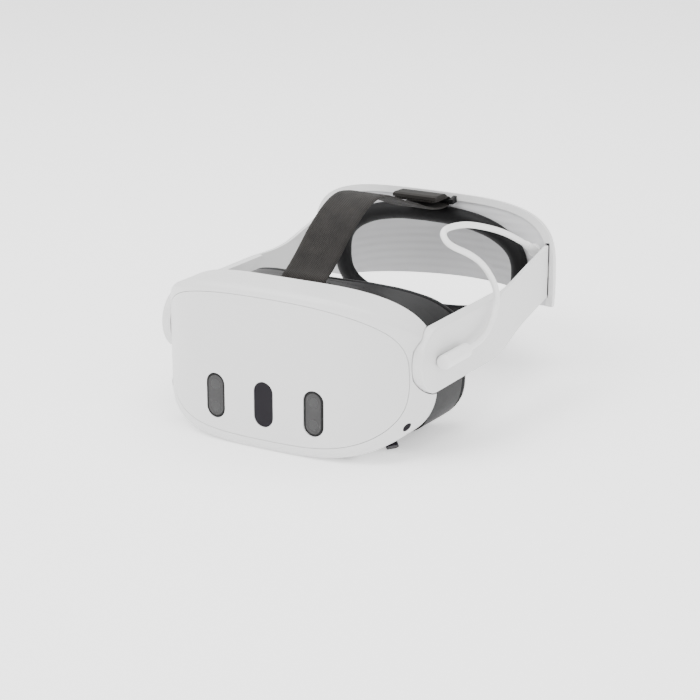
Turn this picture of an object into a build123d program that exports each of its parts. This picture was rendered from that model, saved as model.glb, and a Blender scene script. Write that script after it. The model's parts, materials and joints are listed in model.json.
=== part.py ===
from build123d import *
import math
import os

# ------------------------------------------------------------------
# Standalone headset: a curved visor, a black face frame behind it, two
# side arms that pivot on the visor, slim bands that run into a rear
# cradle with its own battery, a webbing strap over the crown and a
# short power lead from the cradle to the left arm.
# +Z up, the visor looks along -Y, the wearer's left is +X.  The origin
# is under the centre of the whole object, on the surface it rests on.
# Millimetres.
# ------------------------------------------------------------------

os.makedirs("parts", exist_ok=True)

# ---- driving dimensions ------------------------------------------
Y0 = -143.8            # offset of the visor's front face from the origin
VISOR_HALF_W = 90.0
VISOR_HALF_H = 49.0
VISOR_ZC = 49.0
RIM_EXP = 2.97         # outline exponent of the visor's rim
PLATE_HALF_W = 82.0
PLATE_HALF_H = 42.8
PLATE_EXP = 3.0
PLATE_T = 2.2
SHELL_T = 2.4
BOW = 38.0             # how far the front face would fall back at x = 90
BOW_EXP = 4.3
WIN_W = 13.2           # camera windows
WIN_H = 27.6
WIN_X = 33.5
WIN_Z = 28.4
EYE_X = 32.0           # half the lens spacing at rest
EYE_Z = 50.0
EYE_TRAVEL = 5.5
LENS_R = 19.4
BARREL_R = 22.0
ROD_R = 1.5
ROD_ZT = 78.0          # heights of the guide rods
ROD_ZB = 21.0
RUN = 0.05             # radial clearance of running fits
FIT = 0.25             # clearance between neighbouring shells
PIVOT_Y = 46.0         # side arm pivot
PIVOT_Z = 57.5
ARM_R = 19.5
ARM_XI = 83.6
ARM_XO = 90.2
BAND_T = 2.4
BAND_X = 83.8          # centre of the band where it enters the cradle
BAND_SLOPE = 0.242     # rise of the band towards the rear
BAND_END = 203.0       # where the stiff band ends and its thin tongue begins
MOUTH_Y = 204.0        # front rim of the rear cradle
REAR_Y = 279.0         # back of the rear cradle
DIAL_Z = 64.0
DIAL_R = 21.0
STRAP_W = 30.0
STRAP_T = 1.6
CORD_R = 1.9
IPD_X = 39.0
IPD_Z = 14.0


# ---- placement helpers -------------------------------------------
def face_y(y):
    """Plane that looks forward, local (x, z); extrudes towards the front."""
    return Plane(origin=(0, Y0 + y, 0), x_dir=(1, 0, 0), z_dir=(0, -1, 0))


def face_x(x):
    """Plane seen from the wearer's left, local (y, z); extrudes to +X."""
    return Plane(origin=(x, Y0, 0), x_dir=(0, 1, 0), z_dir=(1, 0, 0))


def face_z(z):
    """Plane seen from above, local (x, y); extrudes up."""
    return Plane(origin=(0, Y0, z), x_dir=(1, 0, 0), z_dir=(0, 0, 1))


def oval(a, b, n, cx=0.0, cz=0.0, count=40):
    """Points of a superellipse."""
    pts = []
    for i in range(count):
        t = 2 * math.pi * (i + 0.5) / count
        c, s = math.cos(t), math.sin(t)
        pts.append((cx + a * math.copysign(abs(c) ** (2 / n), c),
                    cz + b * math.copysign(abs(s) ** (2 / n), s)))
    return pts


def squared(a, b, n, m, cz, count=48):
    """Points of an oval with exponent n above its middle and m below it."""
    pts = []
    for i in range(count):
        t = 2 * math.pi * (i + 0.5) / count
        c, s = math.cos(t), math.sin(t)
        k = n if s > 0 else m
        r = (abs(c) ** k + abs(s) ** k) ** (-1 / k)
        pts.append((a * c * r, cz + b * s * r))
    return pts


def bow(x):
    """Depth of the visor's front face at x."""
    return BOW * (abs(x) / 90.0) ** BOW_EXP


def rim_front(x):
    """Depth of the rim's front face at x: flush with the plate, then round."""
    ax = abs(x)
    if ax <= 80:
        return bow(ax)
    return bow(80) + 1.35 * (ax - 80) + 0.012 * (ax - 80) ** 2.6


def rim_rear(x):
    return 28.0 + 17.5 * (abs(x) / 90.0) ** 2


def thick(path, t):
    """Closed outline of a strip of thickness t along a 2-D path."""
    left, right = [], []
    for i, p in enumerate(path):
        a = path[max(0, i - 1)]
        b = path[min(len(path) - 1, i + 1)]
        dx, dy = b[0] - a[0], b[1] - a[1]
        d = math.hypot(dx, dy)
        nx, ny = -dy / d, dx / d
        left.append((p[0] + nx * t / 2, p[1] + ny * t / 2))
        right.append((p[0] - nx * t / 2, p[1] - ny * t / 2))
    return left, right[::-1]


xs = [-96 + 4 * i for i in range(49)]

# ---- front plate ---------------------------------------------------
with BuildPart() as front_plate:
    with BuildSketch(face_z(0)):
        with BuildLine():
            a = [(x, bow(x)) for x in xs if abs(x) <= 88]
            b = [(x, bow(x) + PLATE_T * math.hypot(1, BOW * BOW_EXP / 90 * (abs(x) / 90) ** (BOW_EXP - 1))) for x in xs if abs(x) <= 88]
            s1 = Spline(*a)
            s2 = Spline(*b)
            Line(s1 @ 0, s2 @ 0)
            Line(s1 @ 1, s2 @ 1)
        make_face()
    extrude(amount=110)
    with BuildSketch(face_y(60)):
        with BuildLine():
            Spline(*oval(PLATE_HALF_W, PLATE_HALF_H, PLATE_EXP, 0, VISOR_ZC + 0.5), periodic=True)
        make_face()
    extrude(amount=80, mode=Mode.INTERSECT)
    with BuildSketch(face_y(20)):
        with Locations((-WIN_X, WIN_Z), (0, WIN_Z), (WIN_X, WIN_Z)):
            SlotOverall(WIN_H, WIN_W, rotation=90)
    extrude(amount=40, mode=Mode.SUBTRACT)
front_plate.part.label = "front_plate"

# ---- the three windows ----------------------------------------------
with BuildPart() as left_camera_window:
    with BuildSketch(face_y(bow(WIN_X) + 2.2)):
        with Locations((WIN_X, WIN_Z)):
            SlotOverall(WIN_H - 0.3, WIN_W - 0.3, rotation=90)
    extrude(amount=2.0)
    fillet(left_camera_window.faces().sort_by(Axis.Y)[0].edges(), 0.4)
left_camera_window.part.label = "left_camera_window"

with BuildPart() as centre_sensor_window:
    with BuildSketch(face_y(2.2)):
        with Locations((0, WIN_Z)):
            SlotOverall(WIN_H - 0.3, WIN_W - 0.3, rotation=90)
    extrude(amount=2.0)
    fillet(centre_sensor_window.faces().sort_by(Axis.Y)[0].edges(), 0.4)
centre_sensor_window.part.label = "centre_sensor_window"

with BuildPart() as right_camera_window:
    with BuildSketch(face_y(bow(WIN_X) + 2.2)):
        with Locations((-WIN_X, WIN_Z)):
            SlotOverall(WIN_H - 0.3, WIN_W - 0.3, rotation=90)
    extrude(amount=2.0)
    fillet(right_camera_window.faces().sort_by(Axis.Y)[0].edges(), 0.4)
right_camera_window.part.label = "right_camera_window"

with BuildPart() as camera_modules:
    with BuildSketch(face_y(11.4)):
        with Locations(*[(sx * WIN_X, WIN_Z + dz) for sx in (-1, 1) for dz in (-6.8, 6.8)]):
            RectangleRounded(9.5, 9.5, 1.0)
    extrude(amount=4.4)
    with BuildSketch(face_y(7.0)):
        with Locations(*[(sx * WIN_X, WIN_Z + dz) for sx in (-1, 1) for dz in (-6.8, 6.8)]):
            Circle(4.0)
    extrude(amount=3.6)
camera_modules.part.label = "camera_modules"

with BuildPart() as depth_projector:
    with BuildSketch(face_y(12.5)):
        with Locations((0, WIN_Z)):
            RectangleRounded(9.5, 22, 1.0)
    extrude(amount=7)
    with BuildSketch(face_y(5.5)):
        with Locations((0, WIN_Z - 6.5), (0, WIN_Z + 6.5)):
            Circle(3.4)
    extrude(amount=2.4)
depth_projector.part.label = "depth_projector"

# ---- white rim shell ------------------------------------------------
xr = [-90.4] + [-88 + 4 * i for i in range(45)] + [90.4]
with BuildPart() as bezel_cavity:
    with BuildSketch(face_z(-4)):
        with BuildLine():
            f = Spline(*[(x * 0.973, rim_front(x) + SHELL_T) for x in xr])
            Polyline(f @ 0, (-88.1, 70), (88.1, 70), f @ 1)
        make_face()
    extrude(amount=108)
    with BuildSketch(face_y(70)):
        with BuildLine():
            Spline(*oval(VISOR_HALF_W - SHELL_T, VISOR_HALF_H - SHELL_T, RIM_EXP, 0, VISOR_ZC), periodic=True)
        make_face()
    extrude(amount=80, mode=Mode.INTERSECT)

with BuildPart() as bezel_shell:
    with BuildSketch(face_z(-2)):
        with BuildLine():
            f = Spline(*[(x, rim_front(x)) for x in xr])
            r = Spline(*[(x, rim_rear(x)) for x in xr])
            Line(f @ 0, r @ 0)
            Line(f @ 1, r @ 1)
        make_face()
    extrude(amount=104)
    with BuildSketch(face_y(70)):
        with BuildLine():
            Spline(*oval(VISOR_HALF_W, VISOR_HALF_H, RIM_EXP, 0, VISOR_ZC), periodic=True)
        make_face()
    extrude(amount=80, mode=Mode.INTERSECT)
    front_edge = [e for e in bezel_shell.edges() if e.length > 300][:]
    front_edge = sorted(front_edge, key=lambda e: e.center(CenterOf.BOUNDING_BOX).Y)[:1]
    fillet(front_edge, 4.5)
    add(bezel_cavity.part, mode=Mode.SUBTRACT)
    # opening for the front plate
    with BuildSketch(face_y(60)):
        with BuildLine():
            Spline(*oval(PLATE_HALF_W + FIT, PLATE_HALF_H + FIT, PLATE_EXP, 0, VISOR_ZC + 0.5), periodic=True)
        make_face()
    extrude(amount=80, mode=Mode.SUBTRACT)
    # notches for the rounded ends of the side arms
    with BuildSketch(face_x(ARM_XI - 0.5)):
        with Locations((PIVOT_Y, PIVOT_Z)):
            Circle(ARM_R + 0.7)
        with Locations((PIVOT_Y + 20, PIVOT_Z)):
            Rectangle(40, 2 * ARM_R + 6)
    extrude(amount=12, mode=Mode.SUBTRACT)
    with BuildSketch(face_x(-ARM_XI + 0.5)):
        with Locations((PIVOT_Y, PIVOT_Z)):
            Circle(ARM_R + 0.7)
        with Locations((PIVOT_Y + 20, PIVOT_Z)):
            Rectangle(40, 2 * ARM_R + 6)
    extrude(amount=-12, mode=Mode.SUBTRACT)
    # slot for the lens spacing wheel
    with BuildSketch(face_z(-1)):
        with Locations((IPD_X, 14.5)):
            RectangleRounded(25, 6.4, 1.5)
    extrude(amount=8, mode=Mode.SUBTRACT)
    # holes for the two side cameras
    with BuildSketch(Plane(origin=(70, Y0 + 24, 14), x_dir=(0.6, 0.8, 0.0), z_dir=(0.62, -0.46, -0.63))):
        SlotOverall(8.2, 4.2)
    extrude(amount=14, both=True, mode=Mode.SUBTRACT)
    with BuildSketch(Plane(origin=(-70, Y0 + 24, 14), x_dir=(-0.6, 0.8, 0.0), z_dir=(-0.62, -0.46, -0.63))):
        SlotOverall(8.2, 4.2)
    extrude(amount=14, both=True, mode=Mode.SUBTRACT)
bezel_shell.part.label = "bezel_shell"

with BuildPart() as side_camera_lenses:
    with BuildSketch(Plane(origin=(70, Y0 + 24, 14), x_dir=(0.6, 0.8, 0.0), z_dir=(0.62, -0.46, -0.63))):
        SlotOverall(7.9, 3.9)
    extrude(amount=7.2)
    with BuildSketch(Plane(origin=(-70, Y0 + 24, 14), x_dir=(-0.6, 0.8, 0.0), z_dir=(-0.62, -0.46, -0.63))):
        SlotOverall(7.9, 3.9)
    extrude(amount=7.2)
side_camera_lenses.part.label = "side_camera_lenses"

# ---- inner frame and electronics of the visor -------------------------
with BuildPart() as visor_chassis:
    with BuildSketch(face_y(24.0)):
        with Locations((0, 57)):
            RectangleRounded(136, 62, 12)
        with Locations((-EYE_X, EYE_Z), (EYE_X, EYE_Z)):
            Rectangle(30, 30, mode=Mode.SUBTRACT)
        with Locations((0, 80), (-58, 80), (58, 80)):
            Circle(3.0, mode=Mode.SUBTRACT)
    extrude(amount=2.0)
    # bearing lug of the wheel shaft
    with BuildSketch(face_y(27.5)):
        with Locations((IPD_X, 20)):
            Rectangle(9, 18)
        with Locations((IPD_X, IPD_Z)):
            Circle(1.5 + RUN, mode=Mode.SUBTRACT)
    extrude(amount=3.5)
    # guide rod holders on four arms
    with BuildSketch(face_y(49)):
        with Locations((-56, 74.2), (56, 74.2)):
            Rectangle(5, 12.4)
        with Locations((-56, 25.5), (56, 25.5)):
            Rectangle(5, 17)
    extrude(amount=6)
    with BuildSketch(face_y(43)):
        with Locations((-56, 71), (56, 71), (-56, 31), (56, 31)):
            Rectangle(5, 6)
    extrude(amount=21)
    with BuildSketch(face_x(-59)):
        with Locations((46, ROD_ZT), (46, ROD_ZB)):
            Circle(ROD_R)
    extrude(amount=118, mode=Mode.SUBTRACT)
visor_chassis.part.label = "visor_chassis"

with BuildPart() as guide_rods:
    with BuildSketch(face_x(-59)):
        with Locations((46, ROD_ZT), (46, ROD_ZB)):
            Circle(ROD_R)
    extrude(amount=118)
guide_rods.part.label = "guide_rods"

with BuildPart() as main_board:
    with BuildSketch(face_y(20.5)):
        with Locations((0, 53)):
            RectangleRounded(118, 56, 5)
        with Locations((0, 66)):
            Circle(4, mode=Mode.SUBTRACT)
    extrude(amount=1.6)
    with BuildSketch(face_y(18.9)):
        with Locations((-30, 52), (30, 52)):
            RectangleRounded(15, 15, 0.6)
        with Locations((-44, 32), (44, 32), (0, 42)):
            Rectangle(9, 6)
    extrude(amount=1.4)
main_board.part.label = "main_board"

with BuildPart() as heat_sink:
    with BuildSketch(face_y(17.4)):
        with Locations((-33, 64), (33, 64)):
            Rectangle(28, 32)
    extrude(amount=2.2)
    with BuildSketch(face_y(15.2)):
        with Locations(*[(sx * 33 + 4 * k, 64) for sx in (-1, 1) for k in range(-3, 4)]):
            Rectangle(1.2, 32)
    extrude(amount=8)
heat_sink.part.label = "heat_sink"

with BuildPart() as fan_housing:
    with BuildSketch(face_y(17.4)):
        with Locations((0, 66)):
            RectangleRounded(34, 34, 5)
    extrude(amount=10)
    with BuildSketch(face_y(16.0)):
        with Locations((0, 66)):
            Circle(15.5)
    extrude(amount=10, mode=Mode.SUBTRACT)
    with BuildSketch(face_y(16.0)):
        with Locations((0, 66)):
            Circle(1.2)
    extrude(amount=6)
fan_housing.part.label = "fan_housing"

with BuildPart() as fan_rotor:
    with BuildSketch(face_y(15.4)):
        with Locations((0, 66)):
            Circle(5.2)
            Circle(1.2 + RUN, mode=Mode.SUBTRACT)
    extrude(amount=6.6)
    with BuildSketch(face_y(15.2)):
        with Locations((0, 66)):
            with PolarLocations(9.6, 11):
                Rectangle(9.6, 0.9, rotation=18)
    extrude(amount=6.2)
fan_rotor.part.label = "fan_rotor"

with BuildPart() as visor_battery:
    with BuildSketch(face_y(39)):
        with Locations((0, 80.5)):
            RectangleRounded(84, 9.6, 2)
    extrude(amount=13)
visor_battery.part.label = "visor_battery"

# ---- rear housing of the visor ----------------------------------------
HOUSE_EXP = 2.9
with BuildPart() as rear_housing:
    with BuildSketch(face_y(26)):
        with BuildLine():
            Spline(*oval(82.4, 45.6, HOUSE_EXP, 0, 48.2), periodic=True)
        make_face()
    with BuildSketch(face_y(60)):
        with BuildLine():
            Spline(*oval(77.6, 43.8, HOUSE_EXP, 0, 46.0), periodic=True)
        make_face()
    loft()
    # fuller lower corners behind the rim
    with BuildSketch(face_y(43)):
        with BuildLine():
            Spline(*squared(79.6, 44.9, HOUSE_EXP, 3.6, 46.6), periodic=True)
        make_face()
    with BuildSketch(face_y(60)):
        with BuildLine():
            Spline(*squared(77.6, 44.4, HOUSE_EXP, 5.0, 45.8), periodic=True)
        make_face()
    loft()
    with BuildSketch(face_y(25)):
        with BuildLine():
            Spline(*oval(80.2, 43.4, HOUSE_EXP, 0, 48.2), periodic=True)
        make_face()
    with BuildSketch(face_y(54)):
        with BuildLine():
            Spline(*oval(76.2, 41.8, HOUSE_EXP, 0, 46.4), periodic=True)
        make_face()
    loft(mode=Mode.SUBTRACT)
    with BuildSketch(face_y(61)):
        with BuildLine():
            Spline(*oval(74.6, 40.8, HOUSE_EXP, 0, 46.0), periodic=True)
        make_face()
    extrude(amount=4.5, mode=Mode.SUBTRACT)
    # front edge follows the bowed plate at the two sides
    with BuildSketch(face_z(-4)):
        with BuildLine():
            g = Spline(*[(x, bow(x) + 5.8) for x in range(-84, 85, 4)])
            Polyline(g @ 0, (-84, 0), (84, 0), g @ 1)
        make_face()
    extrude(amount=110, mode=Mode.SUBTRACT)
    # windows for the lens barrels, wide enough for their travel
    with BuildSketch(face_y(62)):
        with Locations((-EYE_X, EYE_Z), (EYE_X, EYE_Z)):
            SlotOverall(2 * (BARREL_R + EYE_TRAVEL + 0.6), 2 * BARREL_R + 1.2)
    extrude(amount=9, mode=Mode.SUBTRACT)
    # seat of the strap anchor
    with BuildSketch(face_z(86)):
        with Locations((0, 45)):
            Rectangle(34, 8)
    extrude(amount=12, mode=Mode.SUBTRACT)
    # holes for the arm pivots
    with BuildSketch(face_x(-95)):
        with Locations((PIVOT_Y, PIVOT_Z)):
            Circle(5)
    extrude(amount=190, mode=Mode.SUBTRACT)
    # outlets under the visor for sound control and power keys
    with BuildSketch(face_z(-2)):
        with Locations((-30, 40)):
            RectangleRounded(22.6, 6.6, 2)
    extrude(amount=12, mode=Mode.SUBTRACT)
    with BuildSketch(face_z(-2)):
        with Locations((30, 40)):
            Circle(4.3)
    extrude(amount=12, mode=Mode.SUBTRACT)
rear_housing.part.label = "rear_housing"

with BuildPart() as volume_rocker:
    with BuildSketch(face_z(0.8)):
        with Locations((-30, 40)):
            RectangleRounded(22, 6, 1.8)
    extrude(amount=6.8)
    with BuildSketch(face_z(7.6)):
        with Locations((-30, 40)):
            RectangleRounded(25, 9, 1.8)
    extrude(amount=1.2)
volume_rocker.part.label = "volume_rocker"

with BuildPart() as power_button:
    with BuildSketch(face_z(0.8)):
        with Locations((30, 40)):
            Circle(4.0)
    extrude(amount=6.0)
    with BuildSketch(face_z(6.8)):
        with Locations((30, 40)):
            Circle(5.4)
    extrude(amount=1.2)
power_button.part.label = "power_button"

with BuildPart() as strap_anchor:
    with BuildSketch(face_z(87.2)):
        with Locations((0, 45)):
            RectangleRounded(33.6, 7.6, 1)
    extrude(amount=5.2)
    with BuildSketch(face_z(89.4)):
        with Locations((0, 45.2)):
            Rectangle(STRAP_W + 0.6, 2.4)
    extrude(amount=3.0, mode=Mode.SUBTRACT)
strap_anchor.part.label = "strap_anchor"

with BuildPart() as pivot_pins:
    with BuildSketch(face_x(76)):
        with Locations((PIVOT_Y, PIVOT_Z)):
            Circle(5)
    extrude(amount=9.2)
    with BuildSketch(face_x(-76)):
        with Locations((PIVOT_Y, PIVOT_Z)):
            Circle(5)
    extrude(amount=-9.2)
pivot_pins.part.label = "pivot_pins"


# ---- lens carriages ----------------------------------------------------
with BuildPart() as left_lens_carriage:
    with BuildSketch(face_y(60)):
        with Locations((EYE_X, EYE_Z)):
            Circle(BARREL_R)
            Circle(LENS_R + 0.1, mode=Mode.SUBTRACT)
    extrude(amount=30)
    with BuildSketch(face_y(32)):
        with Locations((EYE_X, EYE_Z)):
            Circle(BARREL_R)
            Rectangle(26, 26, mode=Mode.SUBTRACT)
    extrude(amount=2)
    with BuildSketch(face_y(49.5)):
        with Locations((EYE_X, EYE_Z + 26.2)):
            Rectangle(13, 10.4)
        with Locations((EYE_X, EYE_Z - 26.6)):
            Rectangle(13, 11.4)
    extrude(amount=7)
    with BuildSketch(face_x(EYE_X - 8)):
        with Locations((46, ROD_ZT), (46, ROD_ZB)):
            Circle(ROD_R + RUN)
    extrude(amount=16, mode=Mode.SUBTRACT)
left_lens_carriage.part.label = "left_lens_carriage"

with BuildPart() as right_lens_carriage:
    with BuildSketch(face_y(60)):
        with Locations((-EYE_X, EYE_Z)):
            Circle(BARREL_R)
            Circle(LENS_R + 0.1, mode=Mode.SUBTRACT)
    extrude(amount=30)
    with BuildSketch(face_y(32)):
        with Locations((-EYE_X, EYE_Z)):
            Circle(BARREL_R)
            Rectangle(26, 26, mode=Mode.SUBTRACT)
    extrude(amount=2)
    with BuildSketch(face_y(49.5)):
        with Locations((-EYE_X, EYE_Z + 26.2)):
            Rectangle(13, 10.4)
        with Locations((-EYE_X, EYE_Z - 26.6)):
            Rectangle(13, 11.4)
    extrude(amount=7)
    with BuildSketch(face_x(-EYE_X - 8)):
        with Locations((46, ROD_ZT), (46, ROD_ZB)):
            Circle(ROD_R + RUN)
    extrude(amount=16, mode=Mode.SUBTRACT)
right_lens_carriage.part.label = "right_lens_carriage"

lens_profile = [(0, 50.5), (7, 50.9), (14, 52.2), (LENS_R, 54.0)]
with BuildPart() as left_lens:
    with BuildSketch(Plane(origin=(EYE_X, Y0, EYE_Z), x_dir=(1, 0, 0), z_dir=(0, 0, 1))):
        with BuildLine():
            a = Spline(*lens_profile)
            b = Polyline((LENS_R, 54.0), (LENS_R, 56.5))
            c = Spline((LENS_R, 56.5), (14, 58.0), (7, 58.8), (0, 59.0))
            Line((0, 59.0), (0, 50.5))
        make_face()
    revolve(axis=Axis((EYE_X, Y0, EYE_Z), (0, 1, 0)), revolution_arc=360)
left_lens.part.label = "left_lens"

with BuildPart() as right_lens:
    with BuildSketch(Plane(origin=(-EYE_X, Y0, EYE_Z), x_dir=(1, 0, 0), z_dir=(0, 0, 1))):
        with BuildLine():
            a = Spline(*lens_profile)
            b = Polyline((LENS_R, 54.0), (LENS_R, 56.5))
            c = Spline((LENS_R, 56.5), (14, 58.0), (7, 58.8), (0, 59.0))
            Line((0, 59.0), (0, 50.5))
        make_face()
    revolve(axis=Axis((-EYE_X, Y0, EYE_Z), (0, 1, 0)), revolution_arc=360)
right_lens.part.label = "right_lens"

with BuildPart() as left_display:
    with BuildSketch(face_y(34.4)):
        with Locations((EYE_X, EYE_Z)):
            RectangleRounded(27, 25.5, 4)
    extrude(amount=2.2)
left_display.part.label = "left_display"

with BuildPart() as right_display:
    with BuildSketch(face_y(34.4)):
        with Locations((-EYE_X, EYE_Z)):
            RectangleRounded(27, 25.5, 4)
    extrude(amount=2.2)
right_display.part.label = "right_display"


# ---- spacing wheel, its pinion and the two racks ---------------------------
def tooth(r_in, r_out, half_in, half_out):
    return [(r_in, -half_in), (r_out, -half_out), (r_out, half_out), (r_in, half_in)]


IPD_PITCH_R = 4.0
IPD_TEETH = 8
IPD_PITCH = 2 * math.pi * IPD_PITCH_R / IPD_TEETH
with BuildPart() as spacing_wheel:
    with BuildSketch(face_y(17.0)):
        with Locations((IPD_X, IPD_Z)):
            Circle(13.3)
    extrude(amount=5.0)
    with BuildSketch(face_y(17.0)):
        with Locations((IPD_X, IPD_Z)):
            with PolarLocations(13.2, 36):
                Rectangle(1.2, 1.1)
    extrude(amount=5.0)
    with BuildSketch(face_y(23.8)):
        with Locations((IPD_X, IPD_Z)):
            Circle(IPD_PITCH_R - 1.1)
            with PolarLocations(0, IPD_TEETH, start_angle=0):
                Polygon(*tooth(IPD_PITCH_R - 1.6, IPD_PITCH_R + 0.85, 0.85, 0.38), align=None)
    extrude(amount=7.0)
    with BuildSketch(face_y(27.4)):
        with Locations((IPD_X, IPD_Z)):
            Circle(1.5)
    extrude(amount=4.0)
spacing_wheel.part.label = "spacing_wheel"

with BuildPart() as left_spacing_rack:
    with BuildSketch(face_y(23.6)):
        with Locations((35, IPD_Z + IPD_PITCH_R + 2.4)):
            Rectangle(36, 2.4)
        with Locations(*[(IPD_X + IPD_PITCH * (k + 0.5), IPD_Z + IPD_PITCH_R) for k in range(-4, 4)]):
            Polygon((-0.75, 1.3), (-0.36, -0.8), (0.36, -0.8), (0.75, 1.3), align=None)
    extrude(amount=2.8)
    with BuildSketch(face_y(42.4)):
        with Locations((26, IPD_Z + IPD_PITCH_R + 2.4 + 2.0)):
            Rectangle(4, 3.2)
    extrude(amount=21.6)
left_spacing_rack.part.label = "left_spacing_rack"

with BuildPart() as right_spacing_rack:
    with BuildSketch(face_y(23.6)):
        with Locations((4.5, IPD_Z - IPD_PITCH_R - 2.4)):
            Rectangle(83, 2.4)
        with Locations(*[(IPD_X + IPD_PITCH * (k + 0.5), IPD_Z - IPD_PITCH_R) for k in range(-4, 2)]):
            Polygon((-0.75, -1.3), (0.75, -1.3), (0.36, 0.8), (-0.36, 0.8), align=None)
        with Locations((-35, 13.2)):
            Rectangle(4, 13.6)
    extrude(amount=2.8)
    with BuildSketch(face_y(42.4)):
        with Locations((-35, 18.4)):
            Rectangle(4, 3.2)
    extrude(amount=21.6)
right_spacing_rack.part.label = "right_spacing_rack"

# ---- face interface ------------------------------------------------------
FACE_EXP = 2.8
FACE_HALF_W = 79.0
FACE_HALF_H = 45.3


def face_rear(x):
    return 72.0 + 36.0 * (abs(x) / 79.0) ** 2.2


xf = [-80 + 5 * i for i in range(33)]
with BuildPart() as face_interface:
    with BuildSketch(face_y(60.6)):
        with BuildLine():
            Spline(*squared(78.0, 44.9, FACE_EXP, 5.0, FACE_HALF_H), periodic=True)
        make_face()
    with BuildSketch(face_y(110)):
        with BuildLine():
            Spline(*squared(FACE_HALF_W, FACE_HALF_H, FACE_EXP, 5.0, FACE_HALF_H), periodic=True)
        make_face()
    loft()
    with BuildSketch(face_y(112)):
        with BuildLine():
            Spline(*squared(75.8, 42.2, FACE_EXP, 4.6, FACE_HALF_H), periodic=True)
        make_face()
    extrude(amount=48.5, mode=Mode.SUBTRACT)
    with BuildSketch(face_y(64)):
        with BuildLine():
            Spline(*oval(71.0, 36.5, FACE_EXP, 0, FACE_HALF_H + 1), periodic=True)
        make_face()
    extrude(amount=6, mode=Mode.SUBTRACT)
    with BuildSketch(face_z(-2)):
        with BuildLine():
            f = Spline(*[(x, face_rear(x) - 9.0) for x in xf])
            Polyline(f @ 0, (-80, 125), (80, 125), f @ 1)
        make_face()
    extrude(amount=100, mode=Mode.SUBTRACT)
    # neck that slides in the recess of the rear housing
    with BuildSketch(face_y(62.0)):
        with BuildLine():
            Spline(*oval(74.2, 40.4, 2.9, 0, 46.0), periodic=True)
        make_face()
        with BuildLine():
            Spline(*oval(72.0, 38.2, 2.9, 0, 46.0), periodic=True)
        make_face(mode=Mode.SUBTRACT)
    extrude(amount=5.1)
    # nose opening
    with BuildSketch(face_y(120)):
        with Locations((0, 4)):
            Ellipse(20, 30)
    extrude(amount=64, mode=Mode.SUBTRACT)
face_interface.part.label = "face_interface"

with BuildPart() as face_cushion:
    with BuildSketch(face_z(0)):
        with BuildLine():
            f = Spline(*[(x, face_rear(x) - 8.8) for x in xf])
            r = Spline(*[(x, face_rear(x)) for x in xf])
            Line(f @ 0, r @ 0)
            Line(f @ 1, r @ 1)
        make_face()
    extrude(amount=95)
    with BuildSketch(face_y(125)):
        with BuildLine():
            Spline(*squared(FACE_HALF_W, FACE_HALF_H, FACE_EXP, 5.0, FACE_HALF_H), periodic=True)
        make_face()
    extrude(amount=75, mode=Mode.INTERSECT)
    with BuildSketch(face_y(125)):
        with BuildLine():
            Spline(*oval(66.5, 33.0, 2.5, 0, FACE_HALF_H + 2), periodic=True)
        make_face()
        with Locations((0, 2)):
            Ellipse(23, 32)
    extrude(amount=75, mode=Mode.SUBTRACT)
face_cushion.part.label = "face_cushion"

# ---- side arms --------------------------------------------------------------
ARM_END = [(131, 77.0), (118, 72), (106, 66), (96, 60), (90, 54), (87.5, 48), (88, 43), (90, 38.0)]


def band_top(y):
    """Height of the band's upper edge."""
    if y < 128:
        return 77.0
    if y > 165:
        return 80.0 + BAND_SLOPE * (y - 165)
    return 77.0 + 3.0 * ((y - 128) / 37.0) ** 2.9


def band_bottom(y):
    """Height of the band's lower edge."""
    if y < 120:
        return 38.0
    if y > 165:
        return 46.2 + BAND_SLOPE * (y - 165)
    return 38.0 + 8.2 * ((y - 120) / 45.0) ** 1.6


with BuildPart() as arm_blank:
    with BuildSketch(face_x(ARM_XI)):
        with BuildLine():
            ThreePointArc((PIVOT_Y, PIVOT_Z + ARM_R), (PIVOT_Y - ARM_R, PIVOT_Z), (PIVOT_Y, PIVOT_Z - ARM_R))
            e = Spline(*ARM_END)
            Line((PIVOT_Y, PIVOT_Z - ARM_R), e @ 1)
            Line((PIVOT_Y, PIVOT_Z + ARM_R), e @ 0)
        make_face()
    extrude(amount=ARM_XO - ARM_XI)
    fillet(arm_blank.faces().sort_by(Axis.X)[-1].edges().filter_by(GeomType.BSPLINE, reverse=True), 1.4)
    with BuildSketch(face_x(ARM_XI - 1)):
        with Locations((PIVOT_Y, PIVOT_Z)):
            Circle(5 + RUN)
        with Locations((76, PIVOT_Z)):
            Circle(9.6)
    extrude(amount=3.2, mode=Mode.SUBTRACT)

with BuildPart() as left_arm:
    add(arm_blank.part)
    # recess around the power socket
    with BuildSketch(face_x(86.6)):
        with Locations((48.5, 57.5)):
            SlotOverall(11.4, 4.8)
    extrude(amount=6, mode=Mode.SUBTRACT)
left_arm.part.label = "left_arm"

with BuildPart() as right_arm:
    add(arm_blank.part)
    mirror(about=Plane.YZ, mode=Mode.REPLACE)
    # 3.5 mm sound socket, open towards the outside
    with BuildSketch(face_x(-84.6)):
        with Locations((60, 47)):
            Circle(1.75)
    extrude(amount=-8, mode=Mode.SUBTRACT)
right_arm.part.label = "right_arm"

with BuildPart() as usb_socket:
    with BuildSketch(face_x(86.7)):
        with Locations((48.5, 57.5)):
            SlotOverall(11.2, 4.6)
            SlotOverall(9.4, 3.2, mode=Mode.SUBTRACT)
    extrude(amount=3.0)
usb_socket.part.label = "usb_socket"

with BuildPart() as left_speaker:
    with BuildSketch(face_x(ARM_XI + 0.4)):
        with Locations((76, PIVOT_Z)):
            Circle(9.4)
    extrude(amount=1.8)
left_speaker.part.label = "left_speaker"

with BuildPart() as right_speaker:
    with BuildSketch(face_x(-ARM_XI - 0.4)):
        with Locations((76, PIVOT_Z)):
            Circle(9.4)
    extrude(amount=-1.8)
right_speaker.part.label = "right_speaker"

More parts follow.
